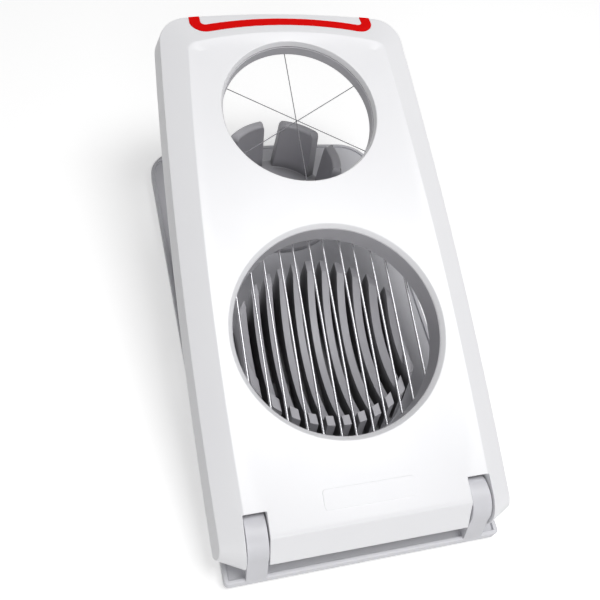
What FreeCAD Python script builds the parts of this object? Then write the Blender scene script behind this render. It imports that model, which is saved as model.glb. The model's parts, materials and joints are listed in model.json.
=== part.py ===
import FreeCAD, Part
import math
import os
import Sketcher

# Egg slicer with two stations: a window of parallel wires for slices and a window of crossing wires for wedges.
# World frame: +Z up, floor at Z 0, X along the hinge, +Y from the hinge to the thumb end, origin at the centre
# of the base's footprint. Lid pieces are drawn closed, in a frame on the hinge axis, and then turned open.

Vector = FreeCAD.Vector

# Driving sizes in millimetres and degrees
SIZES = {
    # tray
    "base_length": 171.5,
    "base_front_width": 83.2,
    "base_far_width": 93.0,
    "base_far_bow": 2.0,
    "base_far_corner": 13.0,
    "base_front_corner": 1.5,
    "foot_stand": 0.8,
    "plate_thickness": 2.6,
    "lip_height": 0.9,
    "lip_width": 1.3,
    # hinge
    "hinge_setback": 9.85,
    "hinge_height": 12.4,
    "ear_radius": 7.5,
    "ear_width": 6.0,
    "ear_inset": 13.05,
    "ear_side_gap": 0.3,
    "ear_tail": 2.0,
    "pin_diameter": 3.0,
    "pin_running_gap": 0.05,
    "pin_grip": 3.0,
    "pin_chamfer": 0.3,
    "hub_radius": 4.0,
    "hub_width": 4.0,
    "lid_open_angle": 18.0,
    # stations, measured along the lid from the hinge axis
    "slice_reach": 53.7,
    "wedge_reach": 127.0,
    "station_shift": 0.8,
    # lid shell
    "lid_top": 8.3,
    "lid_depth": 10.3,
    "lid_wall": 2.0,
    "lid_width": 91.6,
    "lid_side_radius": 1700.0,
    "lid_belly": 69.0,
    "lid_reach": 167.7,
    "lid_end_radius": 340.0,
    "lid_corner": 11.5,
    "shoulder_drop": 3.2,
    "shoulder_inset": 1.6,
    "ridge_width": 74.0,
    "ridge_side_radius": 1290.0,
    "ridge_belly": 58.6,
    "ridge_reach": 156.4,
    "ridge_end_radius": 130.0,
    "ridge_corner": 3.8,
    "ridge_height": 0.4,
    "ridge_land": 0.5,
    "panel_band": 3.2,
    "roll_flat": 6.8,
    "roll_slope": 45.0,
    "notch_reach": 5.7,
    # windows
    "slice_rim_radius": 33.05,
    "slice_rim_depth": 1.45,
    "slice_bore": 31.7,
    "wedge_rim_radius": 25.7,
    "wedge_rim_depth": 2.2,
    "wedge_bore": 24.9,
    "ring_wall": 2.0,
    "frame_fit": 0.1,
    # wire frames
    "flange_thickness": 2.0,
    "flange_corner": 8.0,
    "slice_frame_drop": 10.0,
    "slice_flange_gap": 5.8,
    "slice_flange_length": 80.0,
    "slice_screw_inset": 5.5,
    "slice_screw_reach": 30.5,
    "wedge_frame_drop": 5.9,
    "wedge_flange_gap": 10.3,
    "wedge_flange_length": 59.0,
    "wedge_screw_inset": 5.0,
    "wedge_screw_reach": 22.5,
    "boss_radius": 3.2,
    "boss_roof": 0.9,
    # slicing wire
    "wire_diameter": 0.8,
    "wire_pitch": 5.0,
    "wire_pair_gap": 4.5,
    "wire_seat": 0.05,
    "peg_circle": 36.5,
    "peg_height": 1.5,
    "anchor_tail": 6.0,
    # wedge wires
    "wedge_wire_diameter": 0.3,
    "wedge_wire_layer": 0.45,
    "wedge_wire_drop": 1.0,
    "post_circle": 28.0,
    "post_diameter": 2.6,
    "post_height": 2.4,
    # red strip
    "strip_width": 3.5,
    "strip_depth": 0.6,
    "strip_proud": 0.1,
    "strip_reach": 161.7,
    "strip_radius": 122.0,
    "strip_span": 53.0,
    "strip_turn": 3.4,
    "strip_tail": 2.9,
    # slice cradle
    "cradle_foot_radius": 30.6,
    "cradle_top_radius": 28.7,
    "cradle_near_height": 15.5,
    "cradle_far_height": 21.2,
    "cradle_wall": 2.0,
    "cradle_sill": 2.8,
    "cradle_floor": 1.2,
    "cradle_boss_radius": 3.0,
    "cradle_boss_roof": 0.6,
    "fin_thickness": 2.4,
    "bowl_floor": 5.6,
    "bowl_long_radius": 41.0,
    "bowl_girth_radius": 36.0,
    "bowl_setback": 5.0,
    "nub_length": 3.2,
    # wedge holder
    "prong_bore": 18.6,
    "prong_wall": 3.5,
    "prong_height": 25.1,
    "prong_round": 1.2,
    "prong_shoulder": 2.6,
    "slot_top_width": 6.2,
    "slot_floor_width": 4.0,
    "holder_floor": 3.6,
    "holder_flange": 1.7,
    "holder_flange_height": 2.0,
    # feet
    "foot_diameter": 9.0,
    "foot_socket": 1.0,
    "foot_fit": 0.05,
    "foot_round": 0.3,
    "foot_side_inset": 9.0,
    "foot_end_inset": 13.0,
    # screws
    "screw_head_diameter": 4.4,
    "screw_head_height": 1.1,
    "screw_shank": 2.2,
    "screw_bite": 3.0,
    "screw_fit": 0.05,
    "screw_recess": 0.7,
    "screw_cross": 2.6,
    "screw_blade": 0.7,
    "cradle_screw_circle": 17.32,
    "holder_screw_circle": 10.0,
}

SLICING_RUNS = 12
WEDGE_WIRES = ("wedge_wire_left", "wedge_wire_middle", "wedge_wire_right")
SAME_PLACE = 1e-6

doc = FreeCAD.newDocument("EggSlicer")
sheet = doc.addObject("Spreadsheet::Sheet", "Sizes")
for row, (alias, amount) in enumerate(SIZES.items(), start=1):
    sheet.set("A%d" % row, alias)
    sheet.set("B%d" % row, str(amount))
    sheet.setAlias("B%d" % row, alias)
doc.recompute()


def size(alias):
    """A driving size, read from the sheet."""
    return sheet.get(alias)


def value(expression):
    """The number that an expression on the sheet gives."""
    return float(sheet.evalExpression(expression))


# Places worked out from the driving sizes
HINGE_Y = "(Sizes.hinge_setback - Sizes.base_length / 2)"
PLATE_TOP = "(Sizes.foot_stand + Sizes.plate_thickness)"
TRAY_HEIGHT = "(Sizes.plate_thickness + Sizes.lip_height)"
SLICE_Y = "(%s + Sizes.slice_reach)" % HINGE_Y
WEDGE_Y = "(%s + Sizes.wedge_reach)" % HINGE_Y
CRADLE_Y = "(%s + Sizes.station_shift)" % SLICE_Y
HOLDER_Y = "(%s + Sizes.station_shift)" % WEDGE_Y
PIN_BORE = "(Sizes.pin_diameter / 2 + Sizes.pin_running_gap)"
EAR_X = "(Sizes.lid_width / 2 - Sizes.ear_inset)"
EAR_INSIDE = "(%s - Sizes.ear_width / 2 - Sizes.ear_side_gap)" % EAR_X
EAR_OUTSIDE = "(%s + Sizes.ear_width / 2 + Sizes.ear_side_gap)" % EAR_X
SLICE_FACE = "(Sizes.lid_top - Sizes.slice_frame_drop)"
WEDGE_FACE = "(Sizes.lid_top - Sizes.wedge_frame_drop)"
PANEL_UNDER = "(Sizes.lid_top - Sizes.lid_wall)"
PROUD_HEAD = "(Sizes.wire_diameter + 2 * Sizes.wire_seat)"

pieces = []


def bind(thing, expressions):
    """Tie properties of a document object to expressions on the sheet."""
    for name, expression in expressions.items():
        thing.setExpression(name, expression)
    return thing


def stand(thing, x="0", y="0", z="0"):
    """Place a piece of the base in the world frame."""
    return bind(thing, {"Placement.Base.x": x, "Placement.Base.y": y, "Placement.Base.z": z})


def hang(thing):
    """Place a lid piece on the hinge axis and turn it open."""
    thing.Placement = FreeCAD.Placement(Vector(), FreeCAD.Rotation(Vector(1, 0, 0), size("lid_open_angle")))
    return bind(thing, {
        "Placement.Base.y": HINGE_Y,
        "Placement.Base.z": "Sizes.hinge_height",
        "Placement.Rotation.Angle": "Sizes.lid_open_angle",
    })


def keep(thing, label):
    """Name a finished sub-part, which is written to the file of that name."""
    thing.Label = label
    pieces.append(thing)
    return thing


# Sketches and features of PartDesign bodies
def new_body(label):
    return keep(doc.addObject("PartDesign::Body", label), label)


def new_sketch(body, name, role="XY_Plane", offset="0"):
    plane = [feature for feature in body.Origin.OriginFeatures if feature.Role == role][0]
    sketch = body.newObject("Sketcher::SketchObject", name)
    sketch.AttachmentSupport = [(plane, "")]
    sketch.MapMode = "FlatFace"
    return bind(sketch, {"AttachmentOffset.Base.z": offset})


def fix(sketch, kind, expression, *where):
    index = sketch.addConstraint(Sketcher.Constraint(kind, *where, value(expression)))
    sketch.setExpression("Constraints[%d]" % index, expression)


def fix_point(sketch, geometry, position, x, y):
    fix(sketch, "DistanceX", x, -1, 1, geometry, position)
    fix(sketch, "DistanceY", y, -1, 1, geometry, position)


def arc_between(start, end, radius):
    """Arc from start to end with a radius that is positive where it turns to the left."""
    chord = end - start
    middle = (start + end) / 2
    height = math.sqrt(max(radius * radius - chord.Length ** 2 / 4, 0))
    left = Vector(-chord.y, chord.x, 0).normalize()
    centre = middle + left * math.copysign(height, radius)
    first = math.atan2(start.y - centre.y, start.x - centre.x)
    last = math.atan2(end.y - centre.y, end.x - centre.x)
    if radius < 0:
        first, last = last, first
    circle = Part.Circle(centre, Vector(0, 0, 1), abs(radius))
    return Part.ArcOfCircle(circle, first, last)


def outline(sketch, *corners):
    """Closed outline through the corners; a third entry makes the run to that corner an arc of that radius."""
    places = [Vector(value(corner[0]), value(corner[1]), 0) for corner in corners]
    runs = []
    for index, corner in enumerate(corners):
        start = places[index - 1]
        end = places[index]
        if len(corner) == 2:
            runs.append((sketch.addGeometry(Part.LineSegment(start, end)), 1, 2))
            continue
        radius = value(corner[2])
        arc = sketch.addGeometry(arc_between(start, end, radius))
        runs.append((arc, 1, 2) if radius > 0 else (arc, 2, 1))
    for index, (geometry, first, last) in enumerate(runs):
        following = runs[(index + 1) % len(runs)]
        sketch.addConstraint(Sketcher.Constraint("Coincident", geometry, last, following[0], following[1]))
        fix_point(sketch, geometry, last, corners[index][0], corners[index][1])
    for index, corner in enumerate(corners):
        if len(corner) == 3:
            fix(sketch, "Radius", "abs(%s)" % corner[2], runs[index][0])


def ring(sketch, radius, x="0", y="0"):
    """A circle in a sketch, centred at x, y."""
    centre = Vector(value(x), value(y), 0)
    circle = sketch.addGeometry(Part.Circle(centre, Vector(0, 0, 1), value(radius)))
    fix_point(sketch, circle, 3, x, y)
    fix(sketch, "Radius", radius, circle)


def rectangle(sketch, low_x, low_y, high_x, high_y):
    outline(sketch, (high_x, low_y), (high_x, high_y), (low_x, high_y), (low_x, low_y))


def solid(body):
    """The body's solid so far."""
    doc.recompute()
    return body.Tip.Shape


def add_pad(body, sketch, length, down=False, both=False):
    pad = body.newObject("PartDesign::Pad", sketch.Name + "_pad")
    pad.Profile = sketch
    pad.Reversed = down
    if both:
        pad.SideType = "Symmetric"
    return bind(pad, {"Length": length})


def add_pocket(body, sketch, depth=None, up=False, both=False):
    before = solid(body).Volume
    pocket = body.newObject("PartDesign::Pocket", sketch.Name + "_pocket")
    pocket.Profile = sketch
    pocket.Reversed = up
    if both:
        pocket.SideType = "Symmetric"
    if depth is None:
        pocket.Type = "ThroughAll"
    else:
        bind(pocket, {"Length": depth})
    if solid(body).Volume >= before:
        raise RuntimeError("the pocket of %s cuts nothing" % sketch.Name)
    return pocket


def add_revolution(body, sketch, kind="PartDesign::Revolution"):
    turned = body.newObject(kind, sketch.Name + "_turned")
    turned.Profile = sketch
    turned.ReferenceAxis = (sketch, ["V_Axis"])
    turned.Angle = 360
    return turned


def add_fillet(body, radius, choose):
    """Round the edges of the body so far for which choose(edge) is true."""
    base = body.Tip
    names = ["Edge%d" % number for number, edge in enumerate(solid(body).Edges, start=1) if choose(edge)]
    fillet = body.newObject("PartDesign::Fillet", base.Name + "_round")
    fillet.Base = (base, names)
    return bind(fillet, {"Radius": radius})


def add_copies(body, kind, features, settings):
    """A pattern or mirror of features, which becomes the tip of the body."""
    doc.recompute()
    copies = body.newObject("PartDesign::" + kind, features[-1].Name + "_copies")
    copies.Originals = features
    for name, setting in settings.items():
        setattr(copies, name, setting)
    body.Tip = copies
    doc.recompute()
    return copies


def origin_feature(body, role):
    return [feature for feature in body.Origin.OriginFeatures if feature.Role == role][0]


def upright(edge):
    """True for a straight edge along Z."""
    ends = [vertex.Point for vertex in edge.Vertexes]
    if len(ends) != 2:
        return False
    return abs(ends[0].x - ends[1].x) + abs(ends[0].y - ends[1].y) < SAME_PLACE


# Part primitives that booleans use
def cylinder(name, radius, height, x="0", y="0", z="0", axis=Vector(0, 0, 1)):
    rod = doc.addObject("Part::Cylinder", name)
    rod.Placement = FreeCAD.Placement(Vector(), FreeCAD.Rotation(Vector(0, 0, 1), axis))
    bind(rod, {"Radius": radius, "Height": height})
    return stand(rod, x, y, z)


def cone(name, low_radius, high_radius, height, x="0", y="0", z="0"):
    taper = doc.addObject("Part::Cone", name)
    bind(taper, {"Radius1": low_radius, "Radius2": high_radius, "Height": height})
    return stand(taper, x, y, z)


def block(name, length, width, height, x="0", y="0", z="0"):
    """A box with its low corner at x, y, z."""
    box = doc.addObject("Part::Box", name)
    bind(box, {"Length": length, "Width": width, "Height": height})
    return stand(box, x, y, z)


def fuse(name, shapes):
    joined = doc.addObject("Part::MultiFuse", name)
    joined.Shapes = shapes
    return joined


def common(name, shapes):
    shared = doc.addObject("Part::MultiCommon", name)
    shared.Shapes = shapes
    return shared


def cut(name, base, tools):
    remainder = doc.addObject("Part::Cut", name)
    remainder.Base = base
    remainder.Tool = tools[0] if len(tools) == 1 else fuse(name + "_tools", tools)
    return remainder


def free_form(name, shape):
    """A shape made by Part's own functions from sizes on the sheet."""
    feature = doc.addObject("Part::Feature", name)
    feature.Shape = shape
    return feature


# Tray: plate with a drip lip, hinge ears, foot sockets and screw holes
FOOT_X = "(Sizes.base_front_width / 2 - Sizes.foot_side_inset)"
FOOT_Y = "(Sizes.base_length / 2 - Sizes.foot_end_inset)"
FEET = {
    "foot_front_left": ("-" + FOOT_X, "-" + FOOT_Y),
    "foot_front_right": (FOOT_X, "-" + FOOT_Y),
    "foot_rear_left": ("-" + FOOT_X, FOOT_Y),
    "foot_rear_right": (FOOT_X, FOOT_Y),
}


def on_circle(radius, angle, y):
    """Place on a circle about a station of the base, as two expressions."""
    return ("%s * cos(%d)" % (radius, angle), "%s + %s * sin(%d)" % (y, radius, angle))


CRADLE_SCREWS = [on_circle("Sizes.cradle_screw_circle", angle, CRADLE_Y) for angle in (90, 210, 330)]
HOLDER_SCREWS = [on_circle("Sizes.holder_screw_circle", angle, HOLDER_Y) for angle in (90, 210, 330)]


def tray_plan(sketch, inset):
    """The tray's plan, drawn in by inset: tapered sides and rounded corners that run into a bowed far edge."""
    front = "(-Sizes.base_length / 2 + %s)" % inset
    far = "(Sizes.base_length / 2 - Sizes.base_far_bow - %s)" % inset
    front_half = "(Sizes.base_front_width / 2 - %s)" % inset
    far_half = "(Sizes.base_far_width / 2 - %s)" % inset
    corner = "(Sizes.base_far_corner - %s)" % inset
    bow = "((%s^2 + Sizes.base_far_bow^2) / (2 * Sizes.base_far_bow))" % far_half
    bow_middle = "(Sizes.base_length / 2 - %s - %s)" % (inset, bow)
    square = Vector(value(far_half), value(far), 0)
    radius = value(corner)
    front_end = Vector(value(front_half), value(front), 0)
    right = [front_end, square - Vector(0, radius, 0), square - Vector(radius, 0, 0)]
    left = [Vector(-point.x, point.y, 0) for point in reversed(right)]
    runs = [
        sketch.addGeometry(Part.LineSegment(left[2], right[0])),
        sketch.addGeometry(Part.LineSegment(right[0], right[1])),
        sketch.addGeometry(arc_between(right[1], right[2], radius)),
        sketch.addGeometry(arc_between(right[2], left[0], value(bow))),
        sketch.addGeometry(arc_between(left[0], left[1], radius)),
        sketch.addGeometry(Part.LineSegment(left[1], left[2])),
    ]
    for first, second in ((5, 0), (0, 1)):
        sketch.addConstraint(Sketcher.Constraint("Coincident", runs[first], 2, runs[second], 1))
    for first in (1, 2, 3, 4):
        sketch.addConstraint(Sketcher.Constraint("Tangent", runs[first], 2, runs[first + 1], 1))
    fix_point(sketch, runs[0], 1, "-" + front_half, front)
    fix_point(sketch, runs[0], 2, front_half, front)
    for side, run in (("", runs[1]), ("-", runs[5])):
        mark = sketch.addGeometry(Part.Point(Vector(value(side + far_half), value(far), 0)), True)
        fix_point(sketch, mark, 1, side + far_half, far)
        sketch.addConstraint(Sketcher.Constraint("PointOnObject", mark, 1, run))
    fix_point(sketch, runs[3], 3, "0", bow_middle)
    fix(sketch, "Radius", bow, runs[3])
    fix(sketch, "Radius", corner, runs[2])
    fix(sketch, "Radius", corner, runs[4])


def make_tray():
    body = new_body("base_tray")
    stand(body, z="Sizes.foot_stand")
    plan = new_sketch(body, "tray_plan")
    tray_plan(plan, "0")
    add_pad(body, plan, TRAY_HEIGHT)
    front_edge = -size("base_length") / 2
    add_fillet(body, "Sizes.base_front_corner",
               lambda edge: upright(edge) and abs(edge.CenterOfMass.y - front_edge) < SAME_PLACE)
    well = new_sketch(body, "tray_well", offset=TRAY_HEIGHT)
    tray_plan(well, "Sizes.lip_width")
    add_pocket(body, well, "Sizes.lip_height")

    ear = new_sketch(body, "ear_profile", role="YZ_Plane", offset=EAR_X)
    front = "(-Sizes.base_length / 2)"
    axis = "(Sizes.hinge_height - Sizes.foot_stand)"
    before = "(%s - Sizes.ear_radius)" % HINGE_Y
    behind = "(%s + Sizes.ear_radius)" % HINGE_Y
    outline(
        ear,
        (front, "0"),
        ("(%s + Sizes.ear_tail)" % behind, "0"),
        ("(%s + Sizes.ear_tail)" % behind, "Sizes.plate_thickness"),
        (behind, axis),
        (HINGE_Y, "%s + Sizes.ear_radius" % axis, "Sizes.ear_radius"),
        (before, axis, "Sizes.ear_radius"),
        (front, TRAY_HEIGHT),
    )
    ear_pad = add_pad(body, ear, "Sizes.ear_width", both=True)
    add_copies(body, "Mirrored", [ear_pad], {"MirrorPlane": (origin_feature(body, "YZ_Plane"), [""])})

    bore = new_sketch(body, "ear_bore", role="YZ_Plane")
    ring(bore, PIN_BORE, HINGE_Y, axis)
    add_pocket(body, bore, both=True)

    sockets = new_sketch(body, "foot_sockets")
    for x, y in FEET.values():
        ring(sockets, "Sizes.foot_diameter / 2 + Sizes.foot_fit", x, y)
    add_pocket(body, sockets, "Sizes.foot_socket", up=True)
    heads = new_sketch(body, "screw_head_seats")
    shanks = new_sketch(body, "screw_shank_holes")
    for x, y in CRADLE_SCREWS + HOLDER_SCREWS:
        ring(heads, "Sizes.screw_head_diameter / 2 + Sizes.screw_fit", x, y)
        ring(shanks, "Sizes.screw_shank / 2 + Sizes.screw_fit", x, y)
    add_pocket(body, heads, "Sizes.screw_head_height + Sizes.screw_fit", up=True)
    add_pocket(body, shanks, up=True)


def make_foot(label, x, y):
    """Soft foot, pressed into its socket, with a rounded lower edge."""
    body = new_body(label)
    stand(body, x, y)
    half = new_sketch(body, label + "_half", role="XZ_Plane")
    radius = "(Sizes.foot_diameter / 2)"
    outline(
        half,
        ("0", "0"),
        ("%s - Sizes.foot_round" % radius, "0"),
        (radius, "Sizes.foot_round", "Sizes.foot_round"),
        (radius, "Sizes.foot_stand + Sizes.foot_socket"),
        ("0", "Sizes.foot_stand + Sizes.foot_socket"),
    )
    add_revolution(body, half)


# Cradle: a tapered round block with a sloping top, hollowed for the egg and slotted for the slicing wires
def make_cradle():
    body = new_body("slice_cradle")
    stand(body, y=CRADLE_Y, z=PLATE_TOP)
    foot = "Sizes.cradle_foot_radius"
    top = "Sizes.cradle_top_radius"
    near = "Sizes.cradle_near_height"
    far = "Sizes.cradle_far_height"
    half = new_sketch(body, "cradle_half", role="XZ_Plane")
    outline(half, ("0", "0"), (foot, "0"), (top, far), ("0", far))
    add_revolution(body, half)
    slope = new_sketch(body, "cradle_slope", role="YZ_Plane")
    outline(slope, (top, far), (top, "2 * " + far), ("-2 * " + top, "2 * " + far),
            ("-2 * " + top, "%s - (%s - %s) / 2" % (near, far, near)))
    add_pocket(body, slope, both=True)

    axis = "(Sizes.bowl_floor + Sizes.bowl_girth_radius)"
    bowl = bind(new_sketch(body, "egg_bowl", role="XZ_Plane", offset="Sizes.bowl_setback"),
                {"AttachmentOffset.Base.y": axis})
    side = "(Sizes.bowl_girth_radius - Sizes.bowl_long_radius + sqrt(Sizes.bowl_long_radius^2 - %s^2))" % foot
    outline(bowl, (foot, "-" + side, "Sizes.bowl_long_radius"), (foot, "0"), ("-" + foot, "0"),
            ("-" + foot, "-" + side))
    before = solid(body).Volume
    hollow = add_revolution(body, bowl, "PartDesign::Groove")
    hollow.ReferenceAxis = (bowl, ["H_Axis"])
    if solid(body).Volume >= before:
        raise RuntimeError("the egg bowl cuts nothing")

    nubs = new_sketch(body, "nub_ring")
    outside = "(%s - (%s - %s) * %s / %s)" % (foot, foot, top, near, far)
    ring(nubs, outside)
    ring(nubs, "%s - Sizes.nub_length" % outside)
    add_pad(body, nubs, near)

    sills = new_sketch(body, "wire_sills", offset=far)
    channels = new_sketch(body, "wire_channels", offset=far)
    half_slot = "((Sizes.wire_pitch - Sizes.fin_thickness) / 2)"
    inside = "(%s - Sizes.cradle_wall)" % top
    for run in range(SLICING_RUNS):
        place = run - (SLICING_RUNS - 1) / 2
        left = "%.1f * Sizes.wire_pitch - %s" % (place, half_slot)
        right = "%.1f * Sizes.wire_pitch + %s" % (place, half_slot)
        if run == 0:
            rectangle(sills, "-" + foot, "-" + foot, right, foot)
        elif run == SLICING_RUNS - 1:
            rectangle(sills, left, "-" + foot, foot, foot)
        else:
            rectangle(sills, left, "-" + foot, right, foot)
            reach = "sqrt(%s^2 - (%.1f * Sizes.wire_pitch + %s)^2)" % (inside, abs(place), half_slot)
            rectangle(channels, left, "-" + reach, right, reach)
    add_pocket(body, sills, "%s - Sizes.cradle_sill" % far)
    add_pocket(body, channels, "%s - Sizes.cradle_floor" % far)

    bosses = new_sketch(body, "cradle_bosses")
    for x, y in CRADLE_SCREWS:
        ring(bosses, "Sizes.cradle_boss_radius", x, "%s - %s" % (y, CRADLE_Y))
    add_pad(body, bosses, "Sizes.screw_bite + Sizes.cradle_boss_roof")

    pilots = new_sketch(body, "cradle_pilots")
    for x, y in CRADLE_SCREWS:
        ring(pilots, "Sizes.screw_shank / 2 + Sizes.screw_fit", x, "%s - %s" % (y, CRADLE_Y))
    add_pocket(body, pilots, "Sizes.screw_bite + Sizes.screw_fit", up=True)


# Holder: a crown of prongs on a round floor, with tapered slots where the wedge wires pass
def make_holder():
    body = new_body("wedge_holder")
    stand(body, y=HOLDER_Y, z=PLATE_TOP)
    half = new_sketch(body, "holder_half", role="XZ_Plane")
    outside = "(Sizes.prong_bore + Sizes.prong_wall)"
    top = "Sizes.prong_height"
    outline(
        half,
        ("0", "0"),
        ("%s + Sizes.holder_flange" % outside, "0"),
        ("%s + Sizes.holder_flange" % outside, "Sizes.holder_flange_height"),
        (outside, "Sizes.holder_floor"),
        (outside, "%s - Sizes.prong_round" % top),
        ("%s - Sizes.prong_round" % outside, top, "Sizes.prong_round"),
        ("Sizes.prong_bore + Sizes.prong_round", top),
        ("Sizes.prong_bore", "%s - Sizes.prong_round" % top, "Sizes.prong_round"),
        ("Sizes.prong_bore", "Sizes.holder_floor"),
        ("0", "Sizes.holder_floor"),
    )
    add_revolution(body, half)

    slot = new_sketch(body, "prong_slot", role="XZ_Plane")
    narrow = "(Sizes.slot_floor_width / 2)"
    wide = "(Sizes.slot_top_width / 2)"
    mouth = "(%s + Sizes.prong_shoulder)" % wide
    above = "(%s + Sizes.prong_round)" % top
    outline(
        slot,
        (narrow, "Sizes.holder_floor"),
        (wide, "%s - Sizes.prong_shoulder" % top),
        (mouth, top, "-Sizes.prong_shoulder"),
        (mouth, above),
        ("-" + mouth, above),
        ("-" + mouth, top),
        ("-" + wide, "%s - Sizes.prong_shoulder" % top, "-Sizes.prong_shoulder"),
        ("-" + narrow, "Sizes.holder_floor"),
    )
    pocket = add_pocket(body, slot, both=True)
    add_copies(body, "PolarPattern", [pocket], {
        "Axis": (origin_feature(body, "Z_Axis"), [""]),
        "Angle": 360,
        "Occurrences": 2 * len(WEDGE_WIRES),
    })

    pilots = new_sketch(body, "holder_pilots")
    for x, y in HOLDER_SCREWS:
        ring(pilots, "Sizes.screw_shank / 2 + Sizes.screw_fit", x, "%s - %s" % (y, HOLDER_Y))
    add_pocket(body, pilots, "Sizes.screw_bite + Sizes.screw_fit", up=True)


# Screws, each group of separate solids in one sub-part
def make_screw(name, x, y, seat, reach):
    """Cross-recessed screw that points up, with its head's bearing face at height seat."""
    under = "(%s - Sizes.screw_head_height)" % seat
    head = cylinder(name + "_head", "Sizes.screw_head_diameter / 2", "Sizes.screw_head_height", x, y, under)
    shank_length = "Sizes.screw_head_height + %s" % reach
    shank = cylinder(name + "_shank", "Sizes.screw_shank / 2", shank_length, x, y, under)
    arms = []
    for number, (length, width) in enumerate((("cross", "blade"), ("blade", "cross"))):
        long = "Sizes.screw_" + length
        wide = "Sizes.screw_" + width
        arms.append(block("%s_arm%d" % (name, number), long, wide, "Sizes.screw_recess",
                          "%s - %s / 2" % (x, long), "%s - %s / 2" % (y, wide), under))
    return cut(name, fuse(name + "_blank", [head, shank]), arms)


def make_screws(label, places, seat, reach):
    group = doc.addObject("Part::Compound", label)
    group.Links = [make_screw("%s_%d" % (label, number), x, y, seat, reach)
                   for number, (x, y) in enumerate(places)]
    return keep(group, label)


# Lid cover: a shell lofted through plan outlines, open below
def tangent_plan(half_width, belly, side_radius, reach, end_radius, corner, front, height):
    """Plan of the lid: bowed sides and far end with rounded far corners, straight across the front."""
    side = Vector(half_width - side_radius, belly, 0)
    end = Vector(0, reach - end_radius, 0)
    across = end - side
    to_side = side_radius - corner
    to_end = end_radius - corner
    along = (to_side ** 2 - to_end ** 2 + across.Length ** 2) / (2 * across.Length)
    off = math.sqrt(to_side ** 2 - along ** 2)
    unit = across * (1 / across.Length)
    middle = side + unit * along + Vector(-unit.y, unit.x, 0) * off
    if middle.x < 0:
        middle = side + unit * along - Vector(-unit.y, unit.x, 0) * off

    def on_arc(centre, radius, through):
        return centre + (through - centre).normalize() * radius

    def from_front(y):
        return Vector(side.x + math.sqrt(side_radius ** 2 - (y - belly) ** 2), y, 0)

    bow = on_arc(middle, corner, middle + Vector(1, 1, 0))
    side_end = on_arc(side, side_radius, middle)
    far_end = on_arc(end, end_radius, middle)
    right = [from_front(front), from_front((front + side_end.y) / 2), side_end, bow, far_end]
    left = [Vector(-point.x, point.y, 0) for point in reversed(right)]
    far = Vector(0, reach, 0)
    edges = [
        Part.LineSegment(left[4], right[0]),
        Part.Arc(*right[0:3]),
        Part.Arc(*right[2:5]),
        Part.Arc(right[4], far, left[0]),
        Part.Arc(*left[0:3]),
        Part.Arc(*left[2:5]),
    ]
    wire = Part.Wire([edge.toShape() for edge in edges])
    wire.translate(Vector(0, 0, height))
    return wire


def skirt_plan(inset, height):
    front = -size("lid_top") - size("lid_wall")
    return tangent_plan(size("lid_width") / 2 - inset, size("lid_belly"), size("lid_side_radius") - inset,
                        size("lid_reach") - inset, size("lid_end_radius") - inset, size("lid_corner") - inset,
                        front, height)


def ridge_plan(inset, height):
    front = -size("lid_top") - size("lid_wall")
    return tangent_plan(size("ridge_width") / 2 - inset, size("ridge_belly"), size("ridge_side_radius") - inset,
                        size("ridge_reach") - inset, size("ridge_end_radius") - inset,
                        size("ridge_corner") - inset, front, height)


def loft(wires):
    return Part.makeLoft(wires, True, True)


def at_hinge(half_width, side_radius, belly):
    """Half the width of a bowed plan where it crosses the hinge axis."""
    return half_width - side_radius + math.sqrt(side_radius ** 2 - belly ** 2)


def nose_roll(drop, inset):
    """The lid's section over the hinge axis swung round that axis, lowered by drop and drawn in by inset."""
    low, shoulder, ridge = lid_levels()
    ridge_x = at_hinge(size("ridge_width") / 2, size("ridge_side_radius"), size("ridge_belly"))
    side_radius = size("lid_side_radius")
    skirt_x = at_hinge(size("lid_width") / 2, side_radius, size("lid_belly"))
    shoulder_x = skirt_x - size("shoulder_inset")
    side_x = skirt_x - inset
    side = shoulder + (ridge - shoulder) * (shoulder_x - side_x) / (shoulder_x - ridge_x)
    right = [Vector(ridge_x, 0, ridge - drop), Vector(side_x, 0, side - drop), Vector(side_x, 0, 0)]
    left = [Vector(-point.x, 0, point.z) for point in reversed(right)]
    section = Part.makePolygon(left + right + left[:1])
    return Part.Face(section).revolve(Vector(), Vector(1, 0, 0), 360)


def round_front(shape, roll):
    """Keep of a shape's hinge end only what a roll about the hinge axis holds."""
    span = size("lid_width")
    tall = 3 * size("lid_top")
    outer = Part.makeBox(2 * span, tall, tall, Vector(-span, -tall, -tall / 2))
    return shape.cut(outer.cut(roll))


def flatten_roll(shape, distance):
    """Plane the roll flat in front, so far from the hinge axis."""
    span = size("lid_width")
    tall = 3 * size("lid_top")
    chip = Part.makeBox(2 * span, tall, tall, Vector(-span, -tall / 2, distance))
    chip.rotate(Vector(), Vector(1, 0, 0), size("roll_slope"))
    return shape.cut(chip)


def lid_levels():
    """Heights of the skirt's lower edge, the shoulder and the ridge above the hinge axis."""
    top = size("lid_top")
    return top - size("lid_depth"), top - size("shoulder_drop"), top + size("ridge_height")


def lid_blank(raise_by=0.0):
    """The lid's outer form, filled, which may be raised or sunk along Z."""
    low, shoulder, ridge = lid_levels()
    form = loft([
        skirt_plan(0, low + raise_by),
        skirt_plan(size("shoulder_inset"), shoulder + raise_by),
        ridge_plan(0, ridge + raise_by),
    ])
    dish = loft([
        ridge_plan(size("ridge_land") + size("panel_band"), size("lid_top") + raise_by),
        ridge_plan(size("ridge_land"), ridge + raise_by),
    ])
    return form.cut(dish)


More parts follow.
